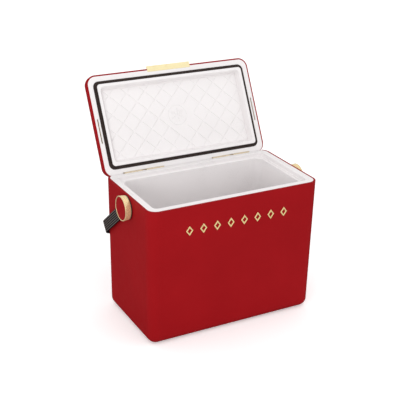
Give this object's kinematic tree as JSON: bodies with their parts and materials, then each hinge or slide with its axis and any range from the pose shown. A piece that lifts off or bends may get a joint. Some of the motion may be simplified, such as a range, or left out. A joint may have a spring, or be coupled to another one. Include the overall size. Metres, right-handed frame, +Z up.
{
  "type": "insulated drinks cooler box",
  "caption": "Portable insulated drinks cooler box: rounded red tub, hinged lid with quilted white inner panel and seal, brass pull bar, side hubs and a swinging carry strap.",
  "frame": {"origin": "centre of the flat base the box stands on", "axes": "+Z up, -Y towards the front face with the lozenges and the pull bar side, +X to the right seen from the front; the lid is open at rest"},
  "size_m": [0.452, 0.3586, 0.5264],
  "materials": {
    "red_plastic": "matte",
    "white_plastic": "satin",
    "insulation_foam": "matte",
    "gasket_rubber": "matte",
    "strap_webbing": "matte",
    "satin_brass": "satin",
    "hinge_brass": "satin",
    "black_nylon": "matte",
    "hardware_steel": "satin"
  },
  "bodies": {
    "box": {"backing_washer_left": "hardware_steel", "backing_washer_right": "hardware_steel", "body_foam": "insulation_foam", "front_lozenges": "satin_brass", "hinge_body_leaf_left": "hinge_brass", "hinge_body_leaf_right": "hinge_brass", "hinge_body_nut_strips": "hardware_steel", "hinge_body_screws": "hardware_steel", "hinge_pins_left": "hinge_brass", "hinge_pins_right": "hinge_brass", "inner_liner": "white_plastic", "outer_shell": "red_plastic", "pivot_nut_left": "hardware_steel", "pivot_nut_right": "hardware_steel", "pivot_post_left": "hardware_steel", "pivot_post_right": "hardware_steel", "thrust_washer_left": "black_nylon", "thrust_washer_right": "black_nylon"},
    "lid": {"hinge_lid_leaf_left": "hinge_brass", "hinge_lid_leaf_right": "hinge_brass", "hinge_lid_nut_strips": "hardware_steel", "hinge_lid_screws": "hardware_steel", "lid_foam": "insulation_foam", "lid_gasket": "gasket_rubber", "lid_liner": "white_plastic", "lid_shell": "red_plastic", "pull_bar": "satin_brass", "pull_bar_rivets": "hardware_steel"},
    "strap": {"carry_strap": "strap_webbing", "hub_cap_left": "red_plastic", "hub_cap_right": "red_plastic", "strap_bush_left": "satin_brass", "strap_bush_right": "satin_brass", "strap_hub_left": "satin_brass", "strap_hub_right": "satin_brass", "strap_retainer_left": "black_nylon", "strap_retainer_right": "black_nylon"}
  },
  "joints": [
    {"name": "lid_hinge", "type": "hinge", "parent": "box", "child": "lid", "pos_m": [0, 0.11315, 0.3173], "axis": [1, 0, 0], "range_deg": [0, 117.8]},
    {"name": "strap_swing", "type": "hinge", "parent": "box", "child": "strap", "pos_m": [0, -0.0052, 0.29], "axis": [1, 0, 0], "range_deg": [0, 45]}
  ]
}
